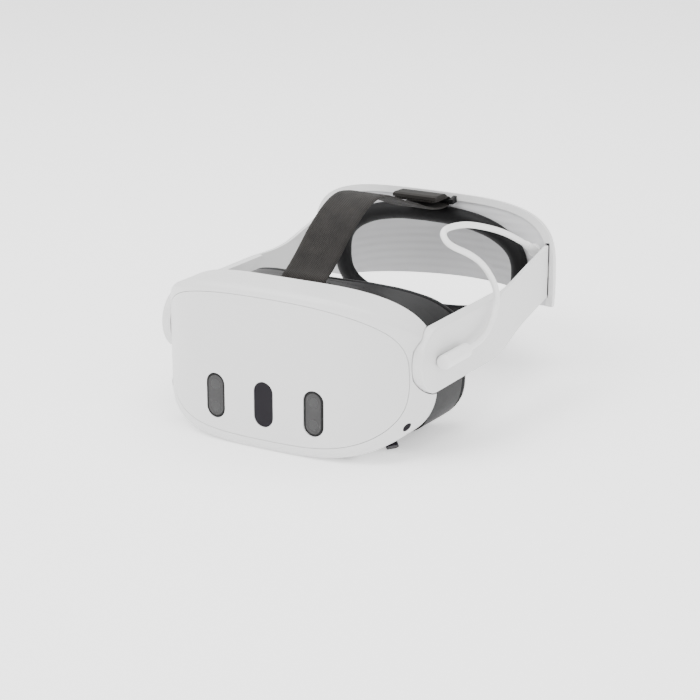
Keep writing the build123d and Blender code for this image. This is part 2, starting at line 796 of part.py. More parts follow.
# ---- side bands ------------------------------------------------------------
band_path = [(88.7, 80), (88.7, 100), (88.6, 118), (87.9, 128), (86.6, 138), (85.3, 148), (84.3, 158), (83.85, 168), (BAND_X, 180), (BAND_X, 190), (BAND_X, BAND_END)]
arm_end_gap = [(p[0] + 0.25, p[1]) for p in ARM_END]
ys = [128 + 3.7 * i for i in range(1, 10)] + [165 + 6 * i for i in range(7)] + [BAND_END + 1]
with BuildPart() as left_band:
    with BuildSketch(face_z(30)):
        with BuildLine():
            l, r = thick(band_path, BAND_T)
            a = Spline(*l)
            b = Spline(*r)
            Line(a @ 1, b @ 0)
            Line(b @ 1, a @ 0)
        make_face()
    extrude(amount=75)
    with BuildSketch(face_x(70)):
        with BuildLine():
            e = Spline(*arm_end_gap)
            t = Spline((131.25, 77.0), *[(y, band_top(y)) for y in ys if y > 133])
            bt = Spline(*[(y, band_bottom(y)) for y in reversed(ys)], (122, 38.06), (112, 38.0), (100, 38.0))
            Line(t @ 1, bt @ 0)
            Line(bt @ 1, e @ 1)
        make_face()
    extrude(amount=30, mode=Mode.INTERSECT)
left_band.part.label = "left_band"

with BuildPart() as right_band:
    add(left_band.part)
    mirror(about=Plane.YZ, mode=Mode.REPLACE)
right_band.part.label = "right_band"

# ---- rear cradle -----------------------------------------------------------
SHELL_SECTIONS = [      # depth, half width, bottom, top, exponent
    (204.0, 88.5, 15.0, 115.0, 3.8),
    (210.5, 87.4, 15.5, 113.8, 3.7),
    (225.0, 79.5, 17.0, 109.5, 3.4),
    (243.0, 70.0, 20.0, 105.0, 3.1),
    (258.0, 60.0, 26.0, 99.5, 2.8),
    (268.0, 50.0, 33.0, 93.0, 2.6),
    (275.0, 36.0, 42.0, 86.0, 2.4),
    (279.0, 20.0, 48.0, 80.0, 2.2)]
BOWL_SECTIONS = [
    (203.0, 70.0, 18.0, 104.0, 3.2),
    (222.0, 64.5, 20.0, 101.0, 3.1),
    (238.0, 55.0, 23.0, 97.5, 2.8),
    (250.0, 41.0, 30.0, 93.0, 2.5),
    (257.0, 26.0, 38.0, 88.0, 2.3),
    (260.0, 12.0, 50.0, 78.0, 2.1)]


def section(sec, dy=0.0, grow=0.0):
    """Points of one cross section, moved back by dy and grown."""
    y, hw, zb, zt, n = sec
    return oval(hw + grow, (zt - zb) / 2 + grow, n, 0, (zt + zb) / 2)


bottom_line = [(190, 50.2), (204, 48.8), (225, 46.5), (250, 44.2), (285, 43.0)]

with BuildPart() as shell_outside:
    for sec in SHELL_SECTIONS:
        with BuildSketch(face_y(sec[0])):
            with BuildLine():
                Spline(*section(sec), periodic=True)
            make_face()
    loft()

with BuildPart() as shell_inside:
    for sec in SHELL_SECTIONS:
        back = 2.1 if sec[0] > 204.5 else 0.4
        with BuildSketch(face_y(sec[0] - back)):
            with BuildLine():
                Spline(*section(sec, 0, -1.9 if sec[0] < 270 else -1.2), periodic=True)
            make_face()
    loft()

with BuildPart() as bowl_inside:
    for sec in BOWL_SECTIONS:
        with BuildSketch(face_y(sec[0])):
            with BuildLine():
                Spline(*section(sec), periodic=True)
            make_face()
    loft()

with BuildPart() as bowl_outside:
    for sec in BOWL_SECTIONS:
        with BuildSketch(face_y(sec[0] + 1.6)):
            with BuildLine():
                Spline(*section(sec, 0, 1.6), periodic=True)
            make_face()
    loft()

with BuildPart() as rear_shell:
    add(shell_outside.part)
    add(shell_inside.part, mode=Mode.SUBTRACT)
    # rolled front lip
    with BuildSketch(face_y(205.4)):
        with BuildLine():
            Spline(*section(SHELL_SECTIONS[0], 0, -0.9), periodic=True)
        make_face()
        with BuildLine():
            Spline(*section(SHELL_SECTIONS[0], 0, -4.4), periodic=True)
        make_face(mode=Mode.SUBTRACT)
    extrude(amount=1.4)
    # open underside
    with BuildSketch(face_x(-100)):
        with BuildLine():
            b = Spline(*bottom_line)
            Polyline(b @ 1, (285, -10), (190, -10), b @ 0)
        make_face()
    extrude(amount=200, mode=Mode.SUBTRACT)
    # boss for the dial shaft
    with BuildSketch(face_y(277.6)):
        with Locations((0, DIAL_Z)):
            Circle(6.0)
    extrude(amount=5.2)
    with BuildSketch(face_y(281)):
        with Locations((0, DIAL_Z)):
            Circle(3 + RUN)
    extrude(amount=12, mode=Mode.SUBTRACT)
    # slots for the two bands
    with BuildSketch(face_x(82.2)):
        with BuildLine():
            Polyline((198, band_bottom(198) - 1.0), (209, band_bottom(209) - 1.0), (209, band_top(209) + 1.0), (198, band_top(198) + 1.0), close=True)
        make_face()
    extrude(amount=3.2, mode=Mode.SUBTRACT)
    with BuildSketch(face_x(-85.4)):
        with BuildLine():
            Polyline((198, band_bottom(198) - 1.0), (209, band_bottom(209) - 1.0), (209, band_top(209) + 1.0), (198, band_top(198) + 1.0), close=True)
        make_face()
    extrude(amount=3.2, mode=Mode.SUBTRACT)
rear_shell.part.label = "rear_shell"

with BuildPart() as bowl_middle:
    for sec in BOWL_SECTIONS:
        with BuildSketch(face_y(sec[0] + 0.7)):
            with BuildLine():
                Spline(*section(sec, 0, 0.7), periodic=True)
            make_face()
    loft()

with BuildPart() as bowl_wall:
    add(bowl_outside.part)
    add(bowl_inside.part, mode=Mode.SUBTRACT)
    with BuildSketch(face_x(-100)):
        with BuildLine():
            b = Spline(*bottom_line)
            Polyline(b @ 1, (285, -10), (190, -10), b @ 0)
        make_face()
        with Locations((195.4, 60)):
            Rectangle(20, 150)
    extrude(amount=200, mode=Mode.SUBTRACT)

with BuildPart() as rear_inner_cover:
    add(shell_inside.part)
    with BuildSketch(face_x(-100)):
        with BuildLine():
            b = Spline((205.4, 48.65), (225, 46.5), (250, 44.2), (285, 43.0))
            t = Spline((207.0, 50.1), (225, 48.1), (250, 45.8), (285, 44.6))
            Line(b @ 1, t @ 1)
            Polyline(t @ 0, (207.0, 125), (205.4, 125), b @ 0)
        make_face()
    extrude(amount=200, mode=Mode.INTERSECT)
    add(bowl_middle.part, mode=Mode.SUBTRACT)
    add(bowl_wall.part)
    with BuildSketch(face_z(44.4)):
        with Locations((48.8, 254.5), (-48.8, 254.5)):
            Rectangle(6.4, 6.4)
        with Locations((0, 271.3)):
            Rectangle(30, 1.4)
    extrude(amount=2.8)
    for side in (1, -1):
        with BuildSketch(face_x(side * 82.2)):
            with BuildLine():
                Polyline((198, band_bottom(198) - 1.0), (209, band_bottom(209) - 1.0), (209, band_top(209) + 1.0), (198, band_top(198) + 1.0), close=True)
            make_face()
        extrude(amount=side * 3.2, mode=Mode.SUBTRACT)
rear_inner_cover.part.label = "rear_inner_cover"

with BuildPart() as crown_ring:
    with BuildSketch(face_y(205.4)):
        with BuildLine():
            Spline(*oval(71.5, 39.25, 2.5, 0, 67.25), periodic=True)
        make_face()
        with BuildLine():
            Spline(*oval(60.0, 27.0, 2.3, 0, 67.0), periodic=True)
        make_face(mode=Mode.SUBTRACT)
    extrude(amount=7.4)
    fillet(crown_ring.faces().sort_by(Axis.Y)[0].edges(), 2.0)
crown_ring.part.label = "crown_ring"

with BuildPart() as left_rear_cell:
    with BuildSketch(face_z(47.2)):
        with Locations((48.8, 254.5)):
            Circle(4.4)
    extrude(amount=33)
left_rear_cell.part.label = "left_rear_cell"

with BuildPart() as right_rear_cell:
    with BuildSketch(face_z(47.2)):
        with Locations((-48.8, 254.5)):
            Circle(4.4)
    extrude(amount=33)
right_rear_cell.part.label = "right_rear_cell"

with BuildPart() as rear_board:
    with BuildSketch(face_y(272.0)):
        with Locations((0, 52.4)):
            Rectangle(52, 10.4)
    extrude(amount=1.4)
    with BuildSketch(face_y(270.6)):
        with Locations((-17, 52), (17, 52)):
            Rectangle(8, 6)
    extrude(amount=1.6)
rear_board.part.label = "rear_board"

# ---- fit dial, its pinion and the two racks -----------------------------------
FIT_PITCH_R = 7.0
FIT_TEETH = 14
FIT_PITCH = 2 * math.pi * FIT_PITCH_R / FIT_TEETH
with BuildPart() as dial_knob:
    with BuildSketch(face_y(287)):
        with Locations((0, DIAL_Z)):
            Circle(DIAL_R - 0.8)
            with PolarLocations(DIAL_R - 1.0, 36):
                Rectangle(2.0, 1.6)
    extrude(amount=7.6)
    with BuildSketch(face_y(287.6)):
        with Locations((0, DIAL_Z)):
            Circle(DIAL_R - 4.0)
    extrude(amount=0.8)
    with BuildSketch(face_y(279.6)):
        with Locations((0, DIAL_Z)):
            Circle(3.0)
    extrude(amount=11.8)
    with BuildSketch(face_y(272.2)):
        with Locations((0, DIAL_Z)):
            Circle(4.6)
    extrude(amount=4.6)
    with BuildSketch(face_y(267.8)):
        with Locations((0, DIAL_Z)):
            Circle(FIT_PITCH_R - 1.2)
            with PolarLocations(0, FIT_TEETH, start_angle=0):
                Polygon(*tooth(FIT_PITCH_R - 1.5, FIT_PITCH_R + 0.9, 1.0, 0.38), align=None)
    extrude(amount=4.2)
dial_knob.part.label = "dial_knob"

with BuildPart() as left_fit_rack:
    with BuildSketch(face_y(267.5)):
        with Locations((7.25, DIAL_Z + FIT_PITCH_R + 2.8)):
            Rectangle(49.5, 3.0)
        with Locations(*[(FIT_PITCH * k, DIAL_Z + FIT_PITCH_R) for k in range(-5, 4)]):
            Polygon((-0.98, 1.4), (-0.4, -0.9), (0.4, -0.9), (0.98, 1.4), align=None)
    extrude(amount=3.6)
left_fit_rack.part.label = "left_fit_rack"

with BuildPart() as right_fit_rack:
    with BuildSketch(face_y(267.5)):
        with Locations((-7.25, DIAL_Z - FIT_PITCH_R - 2.8)):
            Rectangle(49.5, 3.0)
        with Locations(*[(FIT_PITCH * k, DIAL_Z - FIT_PITCH_R) for k in range(-3, 6)]):
            Polygon((-0.98, -1.4), (0.98, -1.4), (0.4, 0.9), (-0.4, 0.9), align=None)
    extrude(amount=3.6)
right_fit_rack.part.label = "right_fit_rack"

tongue_path = [(83.8, 203.0), (83.3, 208), (80.2, 215), (75.2, 222.9), (70.3, 232), (65.4, 240.9), (60.4, 248.5), (54.8, 255.6), (49.6, 260.6), (44.0, 264.0), (38, 265.6), (32, 265.7)]
with BuildPart() as left_fit_tongue:
    with BuildSketch(face_z(60)):
        with BuildLine():
            l, r = thick(tongue_path, 1.2)
            a = Spline(*l)
            b = Spline(*r)
            Line(a @ 1, b @ 0)
            Line(b @ 1, a @ 0)
        make_face()
    extrude(amount=30)
    with BuildSketch(face_x(20)):
        with BuildLine():
            Polyline((200, 67.5), (245, 70.8), (270, 71.0), (270, 76.5), (245, 77.0), (200, 75.0), close=True)
        make_face()
    extrude(amount=80, mode=Mode.INTERSECT)
left_fit_tongue.part.label = "left_fit_tongue"

with BuildPart() as right_fit_tongue:
    with BuildSketch(face_z(45)):
        with BuildLine():
            l, r = thick([(-p[0], p[1]) for p in tongue_path], 1.2)
            a = Spline(*l)
            b = Spline(*r)
            Line(a @ 1, b @ 0)
            Line(b @ 1, a @ 0)
        make_face()
    extrude(amount=30)
    with BuildSketch(face_x(-20)):
        with BuildLine():
            Polyline((200, 61.5), (215, 60.0), (248, 51.6), (270, 51.4), (270, 57.0), (248, 57.6), (222, 66.0), (200, 69.0), close=True)
        make_face()
    extrude(amount=-80, mode=Mode.INTERSECT)
right_fit_tongue.part.label = "right_fit_tongue"

# ---- crown strap and its loop ---------------------------------------------------
with BuildPart() as strap_loop:
    with BuildSketch(face_x(-17.0)):
        with Locations((200, 110.5)):
            Circle(1.4)
    extrude(amount=34)
    for side in (1, -1):
        with BuildSketch(face_x(side * 16.4)):
            with BuildLine():
                Polyline((198.2, 108.9), (204.0, 109.4), (204.0, 113.6), (200.5, 112.8), (198.2, 112.0), close=True)
            make_face()
        extrude(amount=side * 2.4)
strap_loop.part.label = "strap_loop"

strap_path = [(45.2, 89.6), (45.3, 92.4), (47.2, 94.6), (50.8, 96.4), (56, 99.9), (63, 105.2), (76, 115.8), (86, 122.2), (95, 126.9), (104, 129.8), (114, 130.6), (124, 128.8), (135, 124.8), (148, 120.4), (160, 116.4), (172, 111.9), (182, 108.9), (191, 107.6), (198, 107.7), (201.3, 108.4), (202.6, 110.5), (201.3, 112.7), (198, 113.3), (191, 113.2), (181, 113.4)]
with BuildPart() as strap_whole:
    with BuildSketch(face_x(-STRAP_W / 2)):
        with BuildLine():
            l, r = thick(strap_path, STRAP_T)
            a = Spline(*l)
            b = Spline(*r)
            Line(a @ 1, b @ 0)
            Line(b @ 1, a @ 0)
        make_face()
    extrude(amount=STRAP_W)

with BuildPart() as front_strap:
    add(strap_whole.part)
    with BuildSketch(face_y(113)):
        with Locations((0, 110)):
            Rectangle(40, 60)
    extrude(amount=80, mode=Mode.INTERSECT)
front_strap.part.label = "front_strap"

with BuildPart() as crown_strap:
    add(strap_whole.part)
    with BuildSketch(face_y(213)):
        with Locations((0, 110)):
            Rectangle(40, 60)
    extrude(amount=100, mode=Mode.INTERSECT)
crown_strap.part.label = "crown_strap"

with BuildPart() as strap_end:
    with BuildSketch(face_x(-STRAP_W / 2 - 0.4)):
        with BuildLine():
            Polyline((180.4, 114.35), (196.5, 114.15), (196.5, 115.2), (194, 116.5), (183, 117.0), (180.4, 116.4), close=True)
        make_face()
    extrude(amount=STRAP_W + 0.8)
strap_end.part.label = "strap_end"

# ---- power lead --------------------------------------------------------------------
CORD_START = (75, 192, 91)
CORD_NEXT = (75.4, 179, 97.2)
with BuildPart() as cable_gland:
    with BuildSketch(face_y(205.4)):
        with Locations((74.6, 84.6)):
            Circle(4.2)
    extrude(amount=1.6)
    with BuildSketch(face_y(203.8)):
        with Locations((74.6, 84.6)):
            Circle(3.3)
    with BuildSketch(Plane(origin=(CORD_START[0], Y0 + CORD_START[1], CORD_START[2]), x_dir=(1, 0, 0),
                           z_dir=Vector(*CORD_NEXT) - Vector(*CORD_START))):
        Circle(2.4)
    loft()
cable_gland.part.label = "cable_gland"

with BuildPart() as cable_plug:
    with BuildSketch(face_y(71)):
        with Locations((94.9, PIVOT_Z)):
            Circle(4.4)
    extrude(amount=29)
    fillet(cable_plug.edges().filter_by(GeomType.CIRCLE), 1.2)
    with BuildSketch(face_x(91)):
        with Locations((48.5, PIVOT_Z)):
            SlotOverall(8.2, 2.2)
    extrude(amount=-3.2)
cable_plug.part.label = "cable_plug"

CORD_ROUTE = [
    CORD_START, CORD_NEXT, (76.5, 155, 107.5), (78, 128, 116.5), (79.5, 102, 124),
    (80.6, 83, 128.6), (81.2, 69, 130.2), (83.2, 61.6, 128.6), (86.6, 60.6, 123.4), (89.2, 67.0, 118.6),
    (90.6, 80, 112.8), (91.8, 94.5, 104.4), (93.0, 106, 93), (94.3, 111.5, 82.5), (94.6, 110.3, 73.2),
    (94.7, 103.6, 64.8), (94.8, 94.0, 59.4), (94.9, 82, 57.5), (94.9, 71, 57.5)]


def cord_arc(i):
    """Largest arc that the two runs at point i allow."""
    a, b, c = (Vector(*CORD_ROUTE[k]) for k in (i - 1, i, i + 1))
    turn = math.radians((b - a).get_angle(c - b))
    return 0.45 * min((b - a).length, (c - b).length) / math.tan(turn / 2)


route = [(x, Y0 + y, z) for x, y, z in CORD_ROUTE]
with BuildPart() as power_cable:
    with BuildLine() as cord_line:
        FilletPolyline(*route, radius=[cord_arc(i) for i in range(1, len(route) - 1)])
    with BuildSketch(Plane(origin=cord_line.line @ 0, z_dir=cord_line.line % 0)):
        Circle(CORD_R)
    sweep(path=cord_line.line)
power_cable.part.label = "power_cable"
cord_length = sum(e.length for e in cord_line.edges())

# ---- files -----------------------------------------------------------------
export_step(front_plate.part, "parts/front_plate.step")
export_step(left_camera_window.part, "parts/left_camera_window.step")
export_step(centre_sensor_window.part, "parts/centre_sensor_window.step")
export_step(right_camera_window.part, "parts/right_camera_window.step")
export_step(camera_modules.part, "parts/camera_modules.step")
export_step(depth_projector.part, "parts/depth_projector.step")
export_step(bezel_shell.part, "parts/bezel_shell.step")
export_step(side_camera_lenses.part, "parts/side_camera_lenses.step")
export_step(visor_chassis.part, "parts/visor_chassis.step")
export_step(guide_rods.part, "parts/guide_rods.step")
export_step(main_board.part, "parts/main_board.step")
export_step(heat_sink.part, "parts/heat_sink.step")
export_step(fan_housing.part, "parts/fan_housing.step")
export_step(fan_rotor.part, "parts/fan_rotor.step")
export_step(visor_battery.part, "parts/visor_battery.step")
export_step(rear_housing.part, "parts/rear_housing.step")
export_step(volume_rocker.part, "parts/volume_rocker.step")
export_step(power_button.part, "parts/power_button.step")
export_step(strap_anchor.part, "parts/strap_anchor.step")
export_step(pivot_pins.part, "parts/pivot_pins.step")
export_step(left_lens_carriage.part, "parts/left_lens_carriage.step")
export_step(right_lens_carriage.part, "parts/right_lens_carriage.step")
export_step(left_lens.part, "parts/left_lens.step")
export_step(right_lens.part, "parts/right_lens.step")
export_step(left_display.part, "parts/left_display.step")
export_step(right_display.part, "parts/right_display.step")
export_step(spacing_wheel.part, "parts/spacing_wheel.step")
export_step(left_spacing_rack.part, "parts/left_spacing_rack.step")
export_step(right_spacing_rack.part, "parts/right_spacing_rack.step")
export_step(face_interface.part, "parts/face_interface.step")
export_step(face_cushion.part, "parts/face_cushion.step")
export_step(left_arm.part, "parts/left_arm.step")
export_step(right_arm.part, "parts/right_arm.step")
export_step(usb_socket.part, "parts/usb_socket.step")
export_step(left_speaker.part, "parts/left_speaker.step")
export_step(right_speaker.part, "parts/right_speaker.step")
export_step(left_band.part, "parts/left_band.step")
export_step(right_band.part, "parts/right_band.step")
export_step(rear_shell.part, "parts/rear_shell.step")
export_step(rear_inner_cover.part, "parts/rear_inner_cover.step")
export_step(crown_ring.part, "parts/crown_ring.step")
export_step(left_rear_cell.part, "parts/left_rear_cell.step")
export_step(right_rear_cell.part, "parts/right_rear_cell.step")
export_step(rear_board.part, "parts/rear_board.step")
export_step(dial_knob.part, "parts/dial_knob.step")
export_step(left_fit_rack.part, "parts/left_fit_rack.step")
export_step(right_fit_rack.part, "parts/right_fit_rack.step")
export_step(left_fit_tongue.part, "parts/left_fit_tongue.step")
export_step(right_fit_tongue.part, "parts/right_fit_tongue.step")
export_step(strap_loop.part, "parts/strap_loop.step")
export_step(front_strap.part, "parts/front_strap.step")
export_step(crown_strap.part, "parts/crown_strap.step")
export_step(strap_end.part, "parts/strap_end.step")
export_step(cable_gland.part, "parts/cable_gland.step")
export_step(cable_plug.part, "parts/cable_plug.step")
export_step(power_cable.part, "parts/power_cable.step")
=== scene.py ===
import json
import math
import bpy
import bmesh
from mathutils import Vector, Matrix, noise


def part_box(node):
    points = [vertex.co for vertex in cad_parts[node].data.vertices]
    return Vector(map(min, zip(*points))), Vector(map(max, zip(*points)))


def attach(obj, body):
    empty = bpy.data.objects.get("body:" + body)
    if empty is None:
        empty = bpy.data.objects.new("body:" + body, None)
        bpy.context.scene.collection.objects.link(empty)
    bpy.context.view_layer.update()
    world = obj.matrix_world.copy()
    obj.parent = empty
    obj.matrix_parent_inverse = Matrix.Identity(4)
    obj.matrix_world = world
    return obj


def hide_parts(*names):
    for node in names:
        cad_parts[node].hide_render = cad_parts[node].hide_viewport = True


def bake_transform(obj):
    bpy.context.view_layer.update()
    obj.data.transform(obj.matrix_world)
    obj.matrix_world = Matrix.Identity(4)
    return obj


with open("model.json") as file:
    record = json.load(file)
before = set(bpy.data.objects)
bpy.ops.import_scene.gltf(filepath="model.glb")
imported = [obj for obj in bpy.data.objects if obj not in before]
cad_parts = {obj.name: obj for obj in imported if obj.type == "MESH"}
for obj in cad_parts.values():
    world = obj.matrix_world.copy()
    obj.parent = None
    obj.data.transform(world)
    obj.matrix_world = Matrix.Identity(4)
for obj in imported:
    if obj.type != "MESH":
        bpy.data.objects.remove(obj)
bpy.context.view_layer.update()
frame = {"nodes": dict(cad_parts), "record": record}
N = frame["nodes"]
Y0 = -0.1438


def V(x, y, z):
    """Millimetres, y from the visor's front face, to metres in the frame."""
    return Vector((x / 1000.0, Y0 + y / 1000.0, z / 1000.0))


# ---------------------------------------------------------------- camera
A, E = math.radians(30.33), math.radians(17.49)
right = Vector((math.cos(A), math.sin(A), 0))
back = Vector((math.sin(A) * math.cos(E), -math.cos(A) * math.cos(E), math.sin(E)))
up = back.cross(right)
cam_data = bpy.data.cameras.new("camera")
cam_data.lens = 102.9
cam_data.sensor_width = 36.0
cam = bpy.data.objects.new("camera", cam_data)
bpy.context.collection.objects.link(cam)
cam.matrix_world = Matrix((
    (right.x, up.x, back.x, 0.596866),
    (right.y, up.y, back.y, Y0 - 0.920641),
    (right.z, up.z, back.z, 0.407031),
    (0, 0, 0, 1)))
cam_data.clip_start = 0.05
bpy.context.scene.camera = cam


# ---------------------------------------------------------------- materials
def material(name, base, rough, spec=0.5, metal=0.0, grain=0.0, grain_scale=900.0, mottle=0.0, mottle_scale=40.0,
             rough_var=0.05, coat=0.0, coat_rough=0.15, sheen=0.0, sheen_rough=0.5, ridges=None):
    m = bpy.data.materials.new(name)
    m.use_nodes = True
    nt = m.node_tree
    p = nt.nodes["Principled BSDF"]
    p.inputs["Base Color"].default_value = (*base, 1)
    p.inputs["Roughness"].default_value = rough
    p.inputs["Metallic"].default_value = metal
    p.inputs["Specular IOR Level"].default_value = spec
    p.inputs["Coat Weight"].default_value = coat
    p.inputs["Coat Roughness"].default_value = coat_rough
    p.inputs["Sheen Weight"].default_value = sheen
    p.inputs["Sheen Roughness"].default_value = sheen_rough
    tc = nt.nodes.new("ShaderNodeTexCoord")
    if mottle > 0:
        n = nt.nodes.new("ShaderNodeTexNoise")
        n.inputs["Scale"].default_value = mottle_scale
        n.inputs["Detail"].default_value = 4
        nt.links.new(tc.outputs["Object"], n.inputs["Vector"])
        r = nt.nodes.new("ShaderNodeValToRGB")
        r.color_ramp.elements[0].position = 0.3
        r.color_ramp.elements[1].position = 0.7
        r.color_ramp.elements[0].color = (*[c * (1 - mottle) for c in base], 1)
        r.color_ramp.elements[1].color = (*[min(1, c * (1 + mottle)) for c in base], 1)
        nt.links.new(n.outputs["Fac"], r.inputs["Fac"])
        nt.links.new(r.outputs["Color"], p.inputs["Base Color"])
    if rough_var > 0:
        n = nt.nodes.new("ShaderNodeTexNoise")
        n.inputs["Scale"].default_value = 28
        n.inputs["Detail"].default_value = 5
        nt.links.new(tc.outputs["Object"], n.inputs["Vector"])
        mr = nt.nodes.new("ShaderNodeMapRange")
        mr.inputs["To Min"].default_value = max(0.02, rough - rough_var)
        mr.inputs["To Max"].default_value = min(1, rough + rough_var)
        nt.links.new(n.outputs["Fac"], mr.inputs["Value"])
        nt.links.new(mr.outputs["Result"], p.inputs["Roughness"])
    last = None
    if ridges:
        axis, pitch, depth = ridges
        sx = nt.nodes.new("ShaderNodeSeparateXYZ")
        nt.links.new(tc.outputs["Object"], sx.inputs["Vector"])
        mu = nt.nodes.new("ShaderNodeMath")
        mu.operation = "MULTIPLY"
        mu.inputs[1].default_value = 2 * math.pi / pitch
        nt.links.new(sx.outputs[axis], mu.inputs[0])
        si = nt.nodes.new("ShaderNodeMath")
        si.operation = "SINE"
        nt.links.new(mu.outputs[0], si.inputs[0])
        b = nt.nodes.new("ShaderNodeBump")
        b.inputs["Strength"].default_value = 0.6
        b.inputs["Distance"].default_value = depth
        nt.links.new(si.outputs[0], b.inputs["Height"])
        last = b
    if grain > 0:
        n = nt.nodes.new("ShaderNodeTexNoise")
        n.inputs["Scale"].default_value = grain_scale
        n.inputs["Detail"].default_value = 2
        nt.links.new(tc.outputs["Object"], n.inputs["Vector"])
        b = nt.nodes.new("ShaderNodeBump")
        b.inputs["Strength"].default_value = grain
        b.inputs["Distance"].default_value = 0.0002
        nt.links.new(n.outputs["Fac"], b.inputs["Height"])
        if last:
            nt.links.new(last.outputs["Normal"], b.inputs["Normal"])
        last = b
    if last:
        nt.links.new(last.outputs["Normal"], p.inputs["Normal"])
    return m


M = {
    "shell_white": material("shell_white", (0.66, 0.66, 0.658), 0.38, grain=0.10, grain_scale=2400, mottle=0.006),
    "window_grey": material("window_grey", (0.003, 0.003, 0.0032), 0.10, spec=0.16, rough_var=0.02),
    "window_black": material("window_black", (0.0035, 0.0022, 0.005), 0.08, spec=0.16, rough_var=0.02),
    "charcoal": material("charcoal", (0.0055, 0.0055, 0.006), 0.46, spec=0.16, grain=0.25, grain_scale=1500, mottle=0.1),
    "interface": material("interface", (0.007, 0.007, 0.0075), 0.44, spec=0.2, grain=0.2, grain_scale=1200, mottle=0.12),
    "cushion": material("cushion", (0.005, 0.005, 0.0055), 0.52, spec=0.14, grain=0.5, grain_scale=900, mottle=0.15, sheen=0.03),
    "alloy": material("alloy", (0.60, 0.61, 0.62), 0.35, metal=1.0, grain=0.1),
    "steel": material("steel", (0.62, 0.62, 0.63), 0.28, metal=1.0, grain=0.05),
    "lens_glass": material("lens_glass", (0.04, 0.045, 0.06), 0.05, spec=0.8, rough_var=0.01, coat=1.0, coat_rough=0.02),
    "board": material("board", (0.01, 0.09, 0.05), 0.4, mottle=0.3, mottle_scale=300),
    "cell": material("cell", (0.14, 0.15, 0.18), 0.35, mottle=0.05),
    "black_part": material("black_part", (0.018, 0.018, 0.019), 0.42, grain=0.2, mottle=0.1),
    "grey_cover": material("grey_cover", (0.56, 0.56, 0.57), 0.46, grain=0.15, grain_scale=1800, mottle=0.01, ridges=("Z", 0.0052, 0.00012)),
    "webbing": None,
    "cable_white": material("cable_white", (0.78, 0.78, 0.775), 0.42, grain=0.05, mottle=0.01),
    "gear_plastic": material("gear_plastic", (0.62, 0.62, 0.60), 0.45, grain=0.1, mottle=0.03),
}


def webbing_material():
    """Twill webbing: fine slanted ribs across the width, in UV space (u, v in metres)."""
    m = bpy.data.materials.new("webbing")
    m.use_nodes = True
    nt = m.node_tree
    p = nt.nodes["Principled BSDF"]
    p.inputs["Roughness"].default_value = 0.82
    p.inputs["Specular IOR Level"].default_value = 0.25
    p.inputs["Sheen Weight"].default_value = 0.03
    p.inputs["Sheen Roughness"].default_value = 0.45
    uv = nt.nodes.new("ShaderNodeUVMap")
    uv.uv_map = "uv"
    sx = nt.nodes.new("ShaderNodeSeparateXYZ")
    nt.links.new(uv.outputs["UV"], sx.inputs["Vector"])

    def math_node(op, a, b=None):
        n = nt.nodes.new("ShaderNodeMath")
        n.operation = op
        for i, v in enumerate((a, b)):
            if v is None:
                continue
            if isinstance(v, (int, float)):
                n.inputs[i].default_value = v
            else:
                nt.links.new(v, n.inputs[i])
        return n.outputs[0]
    U, W = sx.outputs["X"], sx.outputs["Y"]
    rib = math_node("SINE", math_node("MULTIPLY", math_node("ADD", W, math_node("MULTIPLY", U, 0.55)), 2 * math.pi / 0.0011))
    warp = math_node("SINE", math_node("MULTIPLY", U, 2 * math.pi / 0.0016))
    h = math_node("ADD", math_node("MULTIPLY", rib, 0.7), math_node("MULTIPLY", warp, 0.3))
    n = nt.nodes.new("ShaderNodeTexNoise")
    n.inputs["Scale"].default_value = 90
    n.inputs["Detail"].default_value = 6
    tc = nt.nodes.new("ShaderNodeTexCoord")
    nt.links.new(tc.outputs["Object"], n.inputs["Vector"])
    mix = math_node("ADD", math_node("MULTIPLY", h, 0.22), n.outputs["Fac"])
    r = nt.nodes.new("ShaderNodeValToRGB")
    r.color_ramp.elements[0].position = 0.2
    r.color_ramp.elements[1].position = 0.85
    r.color_ramp.elements[0].color = (0.0060, 0.0053, 0.0048, 1)
    r.color_ramp.elements[1].color = (0.022, 0.0195, 0.0175, 1)
    nt.links.new(mix, r.inputs["Fac"])
    nt.links.new(r.outputs["Color"], p.inputs["Base Color"])
    b = nt.nodes.new("ShaderNodeBump")
    b.inputs["Strength"].default_value = 0.9
    b.inputs["Distance"].default_value = 0.00022
    nt.links.new(h, b.inputs["Height"])
    nt.links.new(b.outputs["Normal"], p.inputs["Normal"])
    return m


M["webbing"] = webbing_material()
slot_of = {s["node"]: s["material_slot"] for s in frame["record"]["subparts"]}
for name, ob in N.items():
    for ms in ob.material_slots:
        ms.material = M[slot_of[name]]


# ---------------------------------------------------------------- mesh helpers
def new_mesh(name, verts, faces, mat, smooth=True, uvs=None):
    me = bpy.data.meshes.new(name)
    me.from_pydata([tuple(v) for v in verts], [], faces)
    me.validate()
    if uvs:
        layer = me.uv_layers.new(name="uv")
        for poly in me.polygons:
            for li in poly.loop_indices:
                layer.data[li].uv = uvs[me.loops[li].vertex_index]
    me.polygons.foreach_set("use_smooth", [smooth] * len(me.polygons))
    me.materials.append(mat)
    ob = bpy.data.objects.new(name, me)
    bpy.context.collection.objects.link(ob)
    return ob


def fix_normals(ob):
    bm = bmesh.new()
    bm.from_mesh(ob.data)
    bmesh.ops.recalc_face_normals(bm, faces=bm.faces)
    bm.to_mesh(ob.data)
    bm.free()


def subdivide(ob, levels=1):
    s = ob.modifiers.new("subdiv", "SUBSURF")
    s.levels = levels
    s.render_levels = levels


def superellipse(a, b, n, t):
    c, s = math.cos(t), math.sin(t)
    return (a * math.copysign(abs(c) ** (2 / n), c), b * math.copysign(abs(s) ** (2 / n), s))


